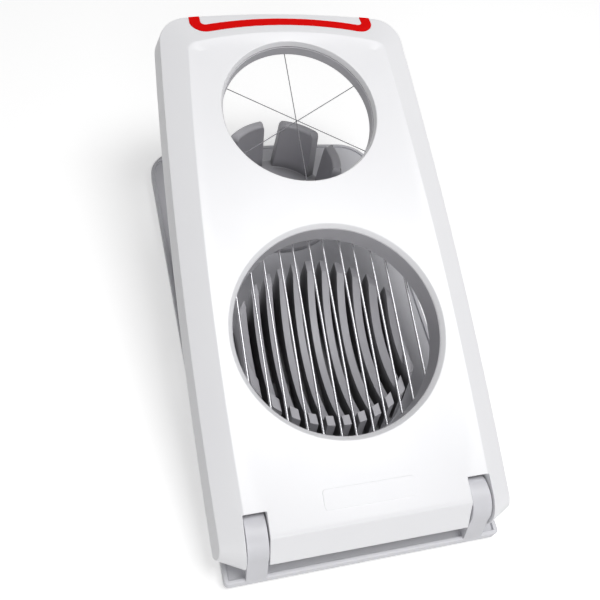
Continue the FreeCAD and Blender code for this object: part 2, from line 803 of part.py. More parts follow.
def lid_hollow():
    """The space under the lid, a wall's thickness inside the blank."""
    low, shoulder, ridge = lid_levels()
    wall = size("lid_wall")
    under = size("lid_top") - wall
    flank = (size("lid_width") - size("ridge_width")) / 2 - size("shoulder_inset")
    slope = math.atan2(ridge - shoulder, flank)
    shoulder_in = shoulder - wall / math.cos(slope) + wall * math.tan(slope)
    rise = under - shoulder_in
    roof_inset = size("shoulder_inset") + wall + rise / math.tan(slope)
    ridge_gap = roof_inset - (size("lid_width") - size("ridge_width")) / 2
    return loft([
        skirt_plan(wall, low),
        skirt_plan(size("shoulder_inset") + wall, shoulder_in),
        ridge_plan(ridge_gap, under),
    ])


def strip_band(width):
    """Upright band along the red strip's path: an arc across the lid with both ends turned to the far edge."""
    radius = size("strip_radius")
    turn = size("strip_turn")
    centre = Vector(0, size("strip_reach") - radius, 0)
    half = size("strip_span") / 2
    swing = math.asin(half / (radius + turn))
    start = centre + Vector(math.sin(swing), math.cos(swing), 0) * radius
    pivot = centre + Vector(math.sin(swing), math.cos(swing), 0) * (radius + turn)
    side = pivot + Vector(turn, 0, 0)
    bend = pivot + (start - pivot + side - pivot).normalize() * turn
    tail = side + Vector(0, size("strip_tail"), 0)
    right = [tail, side, bend, start]
    left = [Vector(-point.x, point.y, 0) for point in right]
    path = Part.Wire([
        Part.LineSegment(right[0], right[1]).toShape(),
        Part.Arc(right[1], right[2], right[3]).toShape(),
        Part.Arc(right[3], centre + Vector(0, radius, 0), left[3]).toShape(),
        Part.Arc(left[3], left[2], left[1]).toShape(),
        Part.LineSegment(left[1], left[0]).toShape(),
    ])
    tall = 2 * size("lid_top")
    across = Vector(width / 2, 0, 0)
    up = Vector(0, 0, tall)
    foot = [tail - across, tail + across]
    section = Part.makePolygon(foot + [tail + across + up, tail - across + up] + foot[:1])
    return path.makePipeShell([section], True, False)


def make_lid():
    wall = size("lid_wall")
    blank = lid_blank()
    rails = round_front(blank, nose_roll(0, 0))
    inner_x = value(EAR_INSIDE)
    barrel = Part.makeCylinder(size("lid_top"), 2 * inner_x, Vector(-inner_x, 0, 0), Vector(1, 0, 0))
    barrel_form = flatten_roll(round_front(blank, barrel), size("roll_flat"))
    tall = 3 * size("lid_top")
    middle = Part.makeBox(2 * inner_x, 2 * tall, tall, Vector(-inner_x, -2 * tall, -tall / 2))
    outer = rails.cut(middle).fuse(barrel_form.common(middle)).removeSplitter()
    hollow = round_front(lid_hollow(), nose_roll(size("ridge_height") + wall, wall))
    hollow = flatten_roll(hollow, size("roll_flat") - wall)
    shell = free_form("lid_shell", outer.cut(hollow))
    form = free_form("lid_form", outer)

    walls = []
    hubs = []
    bores = []
    notches = []
    low = "(Sizes.lid_top - Sizes.lid_depth)"
    for side, sign in (("left", -1), ("right", 1)):
        inner = "%d * %s" % (sign, EAR_INSIDE)
        outer_face = "%d * %s" % (sign, EAR_OUTSIDE)
        for name, face, direction in (("inner", inner, -sign), ("outer", outer_face, sign)):
            start = face if direction > 0 else face + " - %s"
            web_low = start.replace("%s", "Sizes.lid_wall")
            hub_low = start.replace("%s", "Sizes.hub_width")
            walls.append(block("%s_%s_web" % (side, name), "Sizes.lid_wall",
                               "Sizes.lid_top + Sizes.notch_reach + Sizes.lid_wall", "2 * Sizes.lid_top",
                               web_low, "-Sizes.lid_top", low))
            hubs.append(cylinder("%s_%s_hub" % (side, name), "Sizes.hub_radius", "Sizes.hub_width", hub_low,
                                 axis=Vector(1, 0, 0)))
        notch_low = inner if sign > 0 else outer_face
        pin_low = "%s - Sizes.pin_grip" % notch_low
        pin_room = "%s - %s + 2 * Sizes.pin_grip" % (EAR_OUTSIDE, EAR_INSIDE)
        bores.append(cylinder(side + "_pin_bore", PIN_BORE, pin_room, pin_low, axis=Vector(1, 0, 0)))
        notches.append(block(side + "_notch", "%s - %s" % (EAR_OUTSIDE, EAR_INSIDE),
                             "3 * Sizes.lid_top + Sizes.notch_reach", "4 * Sizes.lid_top",
                             notch_low, "-3 * Sizes.lid_top", "-2 * Sizes.lid_top"))
    webs = common("hinge_webs", [form, fuse("hinge_web_blocks", walls)])

    bosses = []
    pilots = []
    for number, (x, y, floor) in enumerate(FRAME_SCREWS):
        roof = "(Sizes.lid_top - Sizes.boss_roof)"
        bosses.append(cylinder("boss_%d" % number, "Sizes.boss_radius", "%s - %s" % (PANEL_UNDER, floor)
                               + " + Sizes.lid_wall / 2", x, y, floor))
        pilots.append(cylinder("pilot_%d" % number, "Sizes.screw_shank / 2 + Sizes.screw_fit",
                               "%s - %s" % (roof, floor), x, y, floor))

    windows = []
    for name, reach in (("slice", "Sizes.slice_reach"), ("wedge", "Sizes.wedge_reach")):
        rim = "Sizes.%s_rim_radius" % name
        depth = "Sizes.%s_rim_depth" % name
        throat = "(Sizes.%s_bore + Sizes.frame_fit)" % name
        seat = "(Sizes.lid_top - %s)" % depth
        flare = "(%s - %s) * Sizes.ridge_height / %s" % (rim, throat, depth)
        windows.append(cone(name + "_rim", throat, "%s + %s" % (rim, flare), "%s + Sizes.ridge_height" % depth,
                            "0", reach, seat))
        windows.append(cylinder(name + "_seat", "%s + Sizes.ring_wall" % throat, "%s - 2 * %s" % (seat, low),
                                "0", reach, "2 * " + low))

    sunk = lid_blank(-size("strip_depth"))
    groove = free_form("strip_groove", strip_band(size("strip_width")).cut(sunk))
    proud = lid_blank(size("strip_proud"))
    strip = free_form("accent_strip", strip_band(size("strip_width")).common(proud).cut(sunk))
    hang(keep(strip, "accent_strip"))

    bulk = fuse("lid_bulk", [shell, webs] + bosses)
    opened = cut("lid_opened", bulk, windows + notches + pilots + [groove])
    hubbed = fuse("lid_hubbed", [opened] + hubs)
    hang(keep(cut("lid_cover", hubbed, bores), "lid_cover"))


# Frames under the two windows, with their rings, pegs and posts
def flange_half(name):
    """Half the width of a wire frame's flange, which keeps a gap to the lid's sides."""
    return "(Sizes.lid_width / 2 - Sizes.%s_flange_gap)" % name


def frame_places(name, face):
    x = "(%s - Sizes.%s_screw_inset)" % (flange_half(name), name)
    y = "Sizes.%s_screw_reach" % name
    reach = "Sizes.%s_reach" % name
    floor = "(%s + Sizes.flange_thickness)" % face
    return [("%s%s" % (sx, x), "%s %s %s" % (reach, sy, y), floor) for sx in ("-", "") for sy in ("-", "+")]


SLICE_SCREWS = frame_places("slice", SLICE_FACE)
WEDGE_SCREWS = frame_places("wedge", WEDGE_FACE)
FRAME_SCREWS = SLICE_SCREWS + WEDGE_SCREWS


def make_flange(body, name, face, screws):
    """Flange with rounded corners, a ring that rises into the window and screw holes."""
    plan = new_sketch(body, name + "_flange", offset=face)
    half_width = flange_half(name)
    half_length = "(Sizes.%s_flange_length / 2)" % name
    reach = "Sizes.%s_reach" % name
    rectangle(plan, "-" + half_width, "%s - %s" % (reach, half_length),
              half_width, "%s + %s" % (reach, half_length))
    ring(plan, "Sizes.%s_bore" % name, y=reach)
    add_pad(body, plan, "Sizes.flange_thickness")
    add_fillet(body, "Sizes.flange_corner", upright_corner(body, name))
    collar = new_sketch(body, name + "_collar", offset=face)
    ring(collar, "Sizes.%s_bore" % name, y=reach)
    ring(collar, "Sizes.%s_bore + Sizes.ring_wall" % name, y=reach)
    add_pad(body, collar, "Sizes.lid_top - Sizes.%s_rim_depth - %s" % (name, face))
    holes = new_sketch(body, name + "_screw_holes", offset=face)
    for x, y, _ in screws:
        ring(holes, "Sizes.screw_shank / 2 + Sizes.screw_fit", x, y)
    add_pocket(body, holes, up=True)


def upright_corner(body, name):
    """Chooser of the flange's four corner edges, which stand at its half width."""
    half = value(flange_half(name))
    return lambda edge: upright(edge) and abs(abs(edge.CenterOfMass.x) - half) < SAME_PLACE


def turn_places():
    """Centres of the wire's turns: wide pairs at the hinge side and narrow pairs at the far side."""
    wide = [2 * pair - (SLICING_RUNS / 2 - 1) for pair in range(SLICING_RUNS // 2)]
    narrow = [2 * pair - (SLICING_RUNS / 2 - 2) for pair in range(SLICING_RUNS // 2 - 1)]
    return wide, narrow


WIDE_TURN = "(Sizes.wire_pitch - Sizes.wire_pair_gap / 2)"
NARROW_TURN = "(Sizes.wire_pair_gap / 2)"
ANCHOR_X = "((%d * Sizes.wire_pitch - Sizes.wire_pair_gap / 2) + Sizes.wire_diameter / 2 + Sizes.screw_shank / 2" \
           " + Sizes.screw_fit)" % (SLICING_RUNS // 2)


def peg_y(steps):
    return "sqrt(Sizes.peg_circle^2 - (%s * Sizes.wire_pitch)^2)" % steps


ANCHOR_Y = "(Sizes.slice_reach + %s + Sizes.anchor_tail / 2)" % peg_y(SLICING_RUNS / 2)
ANCHORS = [("-" + ANCHOR_X, ANCHOR_Y), (ANCHOR_X, ANCHOR_Y)]


def make_slice_frame():
    body = new_body("slice_frame")
    make_flange(body, "slice", SLICE_FACE, SLICE_SCREWS)
    wide, narrow = turn_places()
    pegs = new_sketch(body, "wire_pegs", offset=SLICE_FACE)
    slack = "Sizes.wire_diameter / 2 - Sizes.wire_seat"
    for steps in wide:
        ring(pegs, "%s - %s" % (WIDE_TURN, slack), "%s * Sizes.wire_pitch" % steps,
             "Sizes.slice_reach - %s" % peg_y(steps))
    for steps in narrow:
        ring(pegs, "%s - %s" % (NARROW_TURN, slack), "%s * Sizes.wire_pitch" % steps,
             "Sizes.slice_reach + %s" % peg_y(steps))
    add_pad(body, pegs, "Sizes.peg_height", down=True)
    holes = new_sketch(body, "anchor_holes", offset=SLICE_FACE)
    for x, y in ANCHORS:
        ring(holes, "Sizes.screw_shank / 2 + Sizes.screw_fit", x, y)
    add_pocket(body, holes, up=True)
    hang(body)


def make_slicing_wire():
    """One unbroken wire: straight runs across the window joined by half turns round the pegs."""
    pitch = size("wire_pitch")
    reach = size("slice_reach")
    depth = value(SLICE_FACE) - size("wire_seat") - size("wire_diameter") / 2
    wide, narrow = turn_places()

    def at(x, y):
        return Vector(x, reach + y, depth)

    def stop(steps):
        return math.sqrt(size("peg_circle") ** 2 - (steps * pitch) ** 2)

    last = SLICING_RUNS // 2
    end_x = last * pitch - size("wire_pair_gap") / 2
    end_y = stop(last) + size("anchor_tail")
    edges = []
    place = at(-end_x, end_y)
    for index, steps in enumerate(wide):
        turn = value(WIDE_TURN)
        before = at(steps * pitch - turn, -stop(steps))
        after = at(steps * pitch + turn, -stop(steps))
        edges.append(Part.LineSegment(place, before).toShape())
        edges.append(Part.Arc(before, at(steps * pitch, -stop(steps) - turn), after).toShape())
        place = after
        if index < len(narrow):
            steps = narrow[index]
            turn = value(NARROW_TURN)
            before = at(steps * pitch - turn, stop(steps))
            after = at(steps * pitch + turn, stop(steps))
            edges.append(Part.LineSegment(place, before).toShape())
            edges.append(Part.Arc(before, at(steps * pitch, stop(steps) + turn), after).toShape())
            place = after
    edges.append(Part.LineSegment(place, at(end_x, end_y)).toShape())
    path = Part.Wire(edges)
    start = edges[0].Vertexes[0].Point
    section = Part.Wire([Part.Circle(start, Vector(0, 1, 0), size("wire_diameter") / 2).toShape()])
    tube = path.makePipeShell([section], True, False)
    length_volume = path.Length * math.pi * size("wire_diameter") ** 2 / 4
    print("slicing wire: length %.1f mm, volume over section times length %.4f"
          % (path.Length, tube.Volume / length_volume))
    gap = min(size("wire_pair_gap"), 2 * pitch - size("wire_pair_gap")) - size("wire_diameter")
    for first in range(0, len(edges), 2):
        for second in range(first + 2, len(edges), 2):
            gap = min(gap, edges[first].distToShape(edges[second])[0] - size("wire_diameter"))
    print("slicing wire: least gap to itself %.2f mm" % gap)
    wire = free_form("slicing_wire", tube)
    hang(keep(wire, "slicing_wire"))


def wedge_angle(layer):
    """Angle of a wedge wire to X; the wires share the half turn evenly."""
    return 180 / len(WEDGE_WIRES) * (len(WEDGE_WIRES) - layer - 0.5)


def layer_height(layer):
    """Height of a wedge wire's middle below the wedge frame's face."""
    return "(%s - Sizes.wedge_wire_drop - Sizes.wedge_wire_layer * %d)" % (WEDGE_FACE, layer)


def make_wedge_frame():
    body = new_body("wedge_frame")
    make_flange(body, "wedge", WEDGE_FACE, WEDGE_SCREWS)
    posts = new_sketch(body, "wire_posts", offset=WEDGE_FACE)
    for layer in range(len(WEDGE_WIRES)):
        for turned in (wedge_angle(layer), wedge_angle(layer) + 180):
            x, y = on_circle("Sizes.post_circle", turned, "Sizes.wedge_reach")
            ring(posts, "Sizes.post_diameter / 2", x, y)
    add_pad(body, posts, "Sizes.post_height", down=True)
    doc.recompute()
    body.Label = "wedge_frame_blank"
    pieces.remove(body)
    drills = [wedge_rod("drill_" + label, layer, "Sizes.wedge_wire_diameter / 2 + Sizes.wire_seat",
                        "Sizes.post_diameter")
              for layer, label in enumerate(WEDGE_WIRES)]
    hang(keep(cut("wedge_frame_drilled", body, drills), "wedge_frame"))


def wedge_rod(name, layer, radius, extra):
    """Rod across the small window in its layer, from post to post and a little further."""
    angle = wedge_angle(layer)
    half = "(Sizes.post_circle + Sizes.post_diameter / 2 + %s)" % extra
    x, y = on_circle("-" + half, angle, "Sizes.wedge_reach")
    direction = Vector(math.cos(math.radians(angle)), math.sin(math.radians(angle)), 0)
    return cylinder(name, radius, "2 * " + half, x, y, layer_height(layer), direction)


def make_wedge_wires():
    for layer, label in enumerate(WEDGE_WIRES):
        rod = wedge_rod(label + "_rod", layer, "Sizes.wedge_wire_diameter / 2", "Sizes.wedge_wire_diameter")
        wire = doc.addObject("Part::Compound", label)
        wire.Links = [rod]
        hang(keep(wire, label))


# Hinge pins, turned with chamfered ends
def make_pin(label, sign):
    body = new_body(label)
    half = new_sketch(body, label + "_half", role="XY_Plane")
    start = "(%s - Sizes.pin_grip + Sizes.pin_running_gap)" % EAR_INSIDE
    stop = "(%s + Sizes.pin_grip - Sizes.pin_running_gap)" % EAR_OUTSIDE
    near, far = (start, stop) if sign > 0 else ("-" + stop, "-" + start)
    radius = "(Sizes.pin_diameter / 2)"
    outline(
        half,
        (far, "0"),
        (far, "%s - Sizes.pin_chamfer" % radius),
        ("%s - Sizes.pin_chamfer" % far, radius),
        ("%s + Sizes.pin_chamfer" % near, radius),
        (near, "%s - Sizes.pin_chamfer" % radius),
        (near, "0"),
    )
    turned = add_revolution(body, half)
    turned.ReferenceAxis = (half, ["H_Axis"])
    hang(body)


make_tray()
for foot_label, foot_place in FEET.items():
    make_foot(foot_label, *foot_place)
make_cradle()
make_holder()
HEAD_SEAT = "(Sizes.foot_stand + Sizes.screw_head_height + Sizes.screw_fit)"
THROUGH_PLATE = "(%s - %s + Sizes.screw_bite)" % (PLATE_TOP, HEAD_SEAT)
make_screws("cradle_screws", CRADLE_SCREWS, HEAD_SEAT, THROUGH_PLATE)
make_screws("holder_screws", HOLDER_SCREWS, HEAD_SEAT, THROUGH_PLATE)
make_lid()
make_slice_frame()
make_slicing_wire()
make_wedge_frame()
make_wedge_wires()
FLANGE_BITE = "(Sizes.flange_thickness + %s)"
hang(make_screws("slice_frame_screws", [place[:2] for place in SLICE_SCREWS], SLICE_FACE,
                 FLANGE_BITE % "Sizes.screw_bite"))
hang(make_screws("wedge_frame_screws", [place[:2] for place in WEDGE_SCREWS], WEDGE_FACE,
                 FLANGE_BITE % "Sizes.wedge_frame_drop - Sizes.flange_thickness - Sizes.boss_roof - Sizes.screw_fit"))
hang(make_screws("wire_anchor_screws", ANCHORS, "(%s - %s)" % (SLICE_FACE, PROUD_HEAD),
                 "(%s + Sizes.flange_thickness)" % PROUD_HEAD))
make_pin("hinge_pin_left", -1)
make_pin("hinge_pin_right", 1)
doc.recompute()

# Nothing is written unless every object is sound
for thing in doc.Objects:
    if "Invalid" in thing.State or "Error" in thing.State:
        raise RuntimeError("%s failed: %s" % (thing.Label, thing.State))
for piece in pieces:
    if piece.Shape.isNull() or not piece.Shape.isValid():
        raise RuntimeError("%s has no sound shape" % piece.Label)

os.makedirs("parts", exist_ok=True)
for piece in pieces:
    piece.Shape.exportStep("parts/%s.step" % piece.Label)
    box = piece.Shape.BoundBox
    print("%-20s %2d solid(s) %9.1f mm3  x %6.1f %6.1f  y %6.1f %6.1f  z %6.1f %6.1f"
          % (piece.Label, len(piece.Shape.Solids), piece.Shape.Volume, box.XMin, box.XMax,
             box.YMin, box.YMax, box.ZMin, box.ZMax))
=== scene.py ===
# %% [markdown]
# # An egg slicer with two stations
# The real thing is a kitchen tool moulded in white and grey ABS. A grey tray carries a finned
# cradle for slices and a crown of prongs for wedges. A white lid swings over it with two round
# windows, one strung with a single long steel wire and one crossed by three thin ones. This
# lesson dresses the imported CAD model: the model gives every place and size, and each step below
# adds the finish that the eye expects from the real piece.

# %% Load the frame
import json
import math

import bmesh
import bpy
from mathutils import Euler, Matrix, Vector

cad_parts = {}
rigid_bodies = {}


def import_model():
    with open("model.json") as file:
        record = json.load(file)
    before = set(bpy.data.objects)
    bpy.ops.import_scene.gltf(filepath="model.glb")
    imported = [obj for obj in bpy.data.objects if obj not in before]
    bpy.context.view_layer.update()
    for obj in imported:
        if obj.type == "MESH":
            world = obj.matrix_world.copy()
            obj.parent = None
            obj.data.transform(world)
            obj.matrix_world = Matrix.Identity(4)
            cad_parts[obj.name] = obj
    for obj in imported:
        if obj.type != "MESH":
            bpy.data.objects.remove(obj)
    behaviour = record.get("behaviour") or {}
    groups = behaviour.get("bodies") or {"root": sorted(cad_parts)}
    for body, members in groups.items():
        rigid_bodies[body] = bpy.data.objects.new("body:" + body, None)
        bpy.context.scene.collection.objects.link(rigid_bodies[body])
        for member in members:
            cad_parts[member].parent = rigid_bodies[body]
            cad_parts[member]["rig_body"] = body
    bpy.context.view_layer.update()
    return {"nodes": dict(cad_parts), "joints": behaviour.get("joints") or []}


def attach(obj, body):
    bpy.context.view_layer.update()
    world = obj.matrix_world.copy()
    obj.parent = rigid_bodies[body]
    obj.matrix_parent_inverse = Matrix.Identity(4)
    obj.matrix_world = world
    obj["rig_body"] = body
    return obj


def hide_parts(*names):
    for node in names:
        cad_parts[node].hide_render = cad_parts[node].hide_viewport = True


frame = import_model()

MM = 0.001
scene = bpy.context.scene
nodes = frame["nodes"]
hinge = next(joint for joint in frame["joints"] if joint["name"] == "lid_hinge")
HINGE = Vector(hinge["pos_m"])
print("nodes in the frame:", len(nodes))

# %% [markdown]
# ## The camera
# The picture was taken from the hinge end, from above and a little to the left. The two round
# windows show as ellipses, and from them the place, the turn and the focal length of the camera
# can be worked out. The image is square, so the sensor's 36 mm span the picture both ways.

# %% Camera
CAMERA_PLACE = Vector((-60.0, -129.3, 203.1)) * MM
CAMERA_TURN_DEGREES = (35.73, -8.35, -12.53)
SENSOR_WIDTH, FOCAL_LENGTH, NEAREST_SEEN = 36.0, 41.46, 10.0

camera_data = bpy.data.cameras.new("picture_camera")
camera_data.sensor_width = SENSOR_WIDTH
camera_data.lens = FOCAL_LENGTH
camera_data.clip_start = NEAREST_SEEN * MM
camera = bpy.data.objects.new("picture_camera", camera_data)
camera.location = CAMERA_PLACE
camera.rotation_euler = Euler([math.radians(angle) for angle in CAMERA_TURN_DEGREES], "XYZ")
scene.collection.objects.link(camera)
bpy.context.scene.camera = camera
print("camera stands", round((CAMERA_PLACE - HINGE).length / MM), "mm from the hinge")

# %% [markdown]
# ## Small tools for materials
# Colours are written as the hex values that a paint program shows and are turned to linear
# light here. A node is added with its settings and its inputs in one call, so that a finish
# reads as a short list. Patterns lie on the object's own coordinates, which are metres, so a
# width in millimetres is turned to the scale that a noise texture takes.


# %% Colour and node helpers
def linear(hex_colour):
    """Linear RGBA of an sRGB hex colour."""
    channels = [int(hex_colour[start:start + 2], 16) / 255 for start in (1, 3, 5)]
    return [c / 12.92 if c <= 0.04045 else ((c + 0.055) / 1.055) ** 2.4 for c in channels] + [1.0]


def add_node(tree, kind, inputs, **settings):
    """A new node; an input has a name or a number, and takes a value or a socket to link."""
    node = tree.nodes.new(kind)
    for name, setting in settings.items():
        setattr(node, name, setting)
    for key, given in inputs.items():
        if isinstance(given, bpy.types.NodeSocket):
            tree.links.new(given, node.inputs[key])
        else:
            node.inputs[key].default_value = given
    return node


def new_material(name):
    """A new material with its shader, its node tree and the object's own coordinates."""
    material = bpy.data.materials.new(name)
    material.use_nodes = True
    tree = material.node_tree
    shader = tree.nodes["Principled BSDF"]
    place = tree.nodes.new("ShaderNodeTexCoord").outputs["Object"]
    return material, tree, shader, place


def per_metre(millimetres):
    """Scale of a noise texture whose features are that wide."""
    return 1 / (millimetres * MM)


print("hex #808080 is", round(linear("#808080")[0], 3), "in linear light")

# %% [markdown]
# ## Moulded plastic
# ABS takes the surface of the steel mould. A polished mould leaves a gloss with a faint
# waviness, called orange peel, and a spark-eroded mould leaves a fine even grain. Three noises
# give this: a broad one for the slight change of tone where the melt flowed, a middle one for
# roughness, and a fine one for the grain in the bump. Little light comes back out of narrow
# gaps, such as those between the fins. An ambient occlusion node finds such gaps by their shape
# alone and mixes a darker tone into the base colour there. That is painted shade, which makes
# the gaps read as deep.

# %% A function for moulded plastic
FLOW_WIDTH, PATCH_WIDTH = 30.0, 6.0
# Reach of the occlusion node that paints shade into narrow gaps, in millimetres.
PAINTED_SHADE_REACH = 5.0


def moulded_plastic(name, tone, flow_tone, roughness, spread, grain, depth,
                    ior=1.53, painted_gap_shade=None):
    """Plastic of two near tones, rough by a mean and a spread, with a grain in millimetres, and
    with painted shade in narrow gaps when a dark tone is given.
    """
    material, tree, shader, place = new_material(name)
    flow = add_node(tree, "ShaderNodeTexNoise", {
        "Vector": place, "Scale": per_metre(FLOW_WIDTH), "Detail": 3.0})
    tint = add_node(tree, "ShaderNodeMix", {
        "Factor": flow.outputs["Fac"], "A": linear(tone), "B": linear(flow_tone)},
        data_type="RGBA")
    patch = add_node(tree, "ShaderNodeTexNoise", {
        "Vector": place, "Scale": per_metre(PATCH_WIDTH), "Detail": 4.0})
    gloss = add_node(tree, "ShaderNodeMapRange", {
        "Value": patch.outputs["Fac"],
        "To Min": roughness - spread, "To Max": roughness + spread})
    skin = add_node(tree, "ShaderNodeTexNoise", {
        "Vector": place, "Scale": per_metre(grain), "Detail": 2.0})
    bump = add_node(tree, "ShaderNodeBump", {
        "Height": skin.outputs["Fac"], "Distance": depth * MM, "Strength": 1.0})
    colour = tint.outputs["Result"]
    # Painted shade: where walls stand close around a point, the base colour turns towards the
    # dark tone.
    if painted_gap_shade:
        openness = add_node(tree, "ShaderNodeAmbientOcclusion", {
            "Distance": PAINTED_SHADE_REACH * MM}, only_local=True)
        with_painted_shade = add_node(tree, "ShaderNodeMix", {
            "Factor": openness.outputs["AO"], "A": linear(painted_gap_shade), "B": colour},
            data_type="RGBA")
        colour = with_painted_shade.outputs["Result"]
    tree.links.new(colour, shader.inputs["Base Color"])
    tree.links.new(gloss.outputs["Result"], shader.inputs["Roughness"])
    tree.links.new(bump.outputs["Normal"], shader.inputs["Normal"])
    shader.inputs["IOR"].default_value = ior
    print(name, "has", len(tree.nodes), "nodes")
    return material


# %% [markdown]
# ## The plastics of this slicer
# The lid is polished, the tray is satin, and the pieces that hold the egg and the wires are
# eroded, which hides scratches. The strip and the feet are soft elastomers. Their numbers are
# the two tones, the roughness and its spread, and the width and depth of the grain in
# millimetres. The eroded grain is drawn coarser than it is, so that it shows.

# %% Plastics
# Polished white ABS: a clean gloss with an orange peel a millimetre and a half wide.
polished_white_abs = moulded_plastic(
    "polished_white_abs", "#f3f3f5", "#efeff2", 0.30, 0.04, 1.5, 0.004)
# Satin light-grey ABS of the tray, from a finely eroded mould.
satin_light_grey_abs = moulded_plastic(
    "satin_light_grey_abs", "#d6d6da", "#d2d2d7", 0.42, 0.05, 0.5, 0.008)
# Eroded mid-grey ABS of the cradle and the prongs, with a slightly stronger grain.
# Its narrow gaps, between the fins and between the prongs, get painted shade in near-black.
eroded_grey_abs = moulded_plastic(
    "eroded_grey_abs", "#b6b5ba", "#b1b0b5", 0.46, 0.05, 0.5, 0.010, painted_gap_shade="#1c1b1e")
# Eroded grey ABS of the wire frames, a shade lighter and with no painted shade in its gaps.
eroded_frame_abs = moulded_plastic(
    "eroded_frame_abs", "#c8c7cb", "#c3c2c7", 0.46, 0.05, 0.5, 0.010)
# Soft red elastomer, moulded onto the lid: deep colour and a matt skin with little sheen.
soft_red_tpe = moulded_plastic(
    "soft_red_tpe", "#ea0a08", "#e20807", 0.72, 0.06, 0.4, 0.012, ior=1.15)
# Soft dark elastomer of the feet.
soft_dark_tpe = moulded_plastic(
    "soft_dark_tpe", "#4b4b4e", "#434347", 0.65, 0.06, 0.4, 0.020, ior=1.5)

# %% [markdown]
# ## Steel
# The wire is drawn stainless steel. The die leaves fine lines along it, so its noise is
# stretched along Y, which nearly all of the long wire follows. Screws and pins are zinc-plated
# and duller, and their noise isn't stretched, so it reads as an even grain.

# %% Steel
STEEL_SPREAD = 0.06
LINE_DEPTH = 0.001


def drawn_steel(name, tone, roughness, line, stretch):
    """Metal with lines of a given width in millimetres, stretched along Y."""
    material, tree, shader, place = new_material(name)
    along = add_node(tree, "ShaderNodeMapping", {
        "Vector": place, "Scale": (1.0, 1.0 / stretch, 1.0)})
    lines = add_node(tree, "ShaderNodeTexNoise", {
        "Vector": along.outputs["Vector"], "Scale": per_metre(line), "Detail": 3.0})
    gloss = add_node(tree, "ShaderNodeMapRange", {
        "Value": lines.outputs["Fac"],
        "To Min": roughness - STEEL_SPREAD, "To Max": roughness + STEEL_SPREAD})
    bump = add_node(tree, "ShaderNodeBump", {
        "Height": lines.outputs["Fac"], "Distance": LINE_DEPTH * MM, "Strength": 1.0})
    tree.links.new(gloss.outputs["Result"], shader.inputs["Roughness"])
    tree.links.new(bump.outputs["Normal"], shader.inputs["Normal"])
    shader.inputs["Base Color"].default_value = linear(tone)
    shader.inputs["Metallic"].default_value = 1.0
    print(name, "has", len(tree.nodes), "nodes")
    return material


# Stainless spring wire; its die lines are a tenth of a millimetre, coarser than real, to show.
drawn_stainless = drawn_steel("drawn_stainless", "#a6a6a9", 0.24, 0.1, 12.0)
# Fine wire of the wedge station: the same steel, dull from handling.
dull_fine_stainless = drawn_steel("dull_fine_stainless", "#6e6e71", 0.45, 0.1, 12.0)
# Zinc-plated screws and pins.
zinc_plated_steel = drawn_steel("zinc_plated_steel", "#b9bbbd", 0.34, 0.3, 1.0)

# %% [markdown]
# ## Moulded edges
# No moulded edge is a knife edge: the mould's own corners are rounded by a few tenths of a
# millimetre, and that thin round is what catches the light. The CAD pieces come as loose
# triangles with true edges. A bevel modifier finds no edges to round on loose triangles, so a
# copy is merged and bevelled instead, and it stands in for the CAD piece. On the cradle,
# triangles that lie in one plane are joined first, so that the bevel has clean faces to work on.

# %% Moulded copies of the plastic pieces
SHARP = math.radians(28)
FLAT = math.radians(0.3)
SAME_PLACE = 0.001
ROUND_STEPS = 3


def moulded_copy(node, name, radius, material, joined=False):
    """A merged copy of a CAD node with its sharp edges rounded, which rides in its place."""
    source = nodes[node]
    bm = bmesh.new()
    bm.from_mesh(source.data)
    bmesh.ops.remove_doubles(bm, verts=bm.verts, dist=SAME_PLACE * MM)
    if joined:
        bmesh.ops.dissolve_limit(bm, angle_limit=FLAT, verts=bm.verts, edges=bm.edges)
    sharp = [edge for edge in bm.edges
             if len(edge.link_faces) == 2 and edge.calc_face_angle() > SHARP]
    bmesh.ops.bevel(bm, geom=sharp, offset=radius * MM, offset_type="OFFSET",
                    segments=ROUND_STEPS, profile=0.5, affect="EDGES", clamp_overlap=False,
                    material=-1)
    for face in bm.faces:
        face.smooth = True
    mesh = bpy.data.meshes.new(name)
    bm.to_mesh(mesh)
    bm.free()
    mesh.materials.append(material)
    piece = bpy.data.objects.new(name, mesh)
    scene.collection.objects.link(piece)
    weighted = piece.modifiers.new("flat_faces_first", "WEIGHTED_NORMAL")
    weighted.keep_sharp = True
    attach(piece, source["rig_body"])
    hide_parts(node)
    print(name, "has", len(sharp), "rounded edges and", len(mesh.polygons), "faces")


moulded_copy("lid_cover", "lid_shell", 0.25, polished_white_abs)
moulded_copy("base_tray", "tray_plate", 0.25, satin_light_grey_abs)
moulded_copy("slice_cradle", "egg_cradle", 0.12, eroded_grey_abs, joined=True)
moulded_copy("wedge_holder", "prong_crown", 0.4, eroded_grey_abs)
moulded_copy("slice_frame", "slice_wire_frame", 0.15, eroded_frame_abs)
moulded_copy("wedge_frame", "wedge_wire_frame", 0.12, eroded_frame_abs)
moulded_copy("accent_strip", "red_strip", 0.05, soft_red_tpe)

# %% [markdown]
# ## Pieces that keep their CAD shape
# Wires, screws, pins and feet are right as they are. They only need their finish.


# %% Finishes of the carried pieces
def dress(node, material):
    """Give a CAD node its one finish."""
    nodes[node].data.materials.clear()
    nodes[node].data.materials.append(material)
    print(node, "is finished in", material.name)


for node in nodes:
    if node == "slicing_wire":
        dress(node, drawn_stainless)
    elif node.startswith("wedge_wire"):
        dress(node, dull_fine_stainless)
    elif node.endswith("screws") or node.startswith("hinge_pin"):
        dress(node, zinc_plated_steel)
    elif node.startswith("foot"):
        dress(node, soft_dark_tpe)

# %% [markdown]
# ## The bare plate
# Near the hinge the mould raises a small plate with round corners out of the lid. On this part
# it stays bare. It stands proud by little more than a tenth of a millimetre, so it shows only
# as a thin line of shade. It could be cut into the lid's own mesh, but a thin slab that is sunk
# a little into the lid is simpler and leaves the lid's faces clean.

# %% A thin slab with round corners
PLATE_WIDTH, PLATE_DEPTH, PLATE_CORNER = 27.2, 5.6, 1.0
PLATE_RISE, PLATE_SINK, PLATE_EDGE = 0.16, 0.2, 0.08
CORNER_STEPS, EDGE_STEPS = 6, 2

plate_bm = bmesh.new()
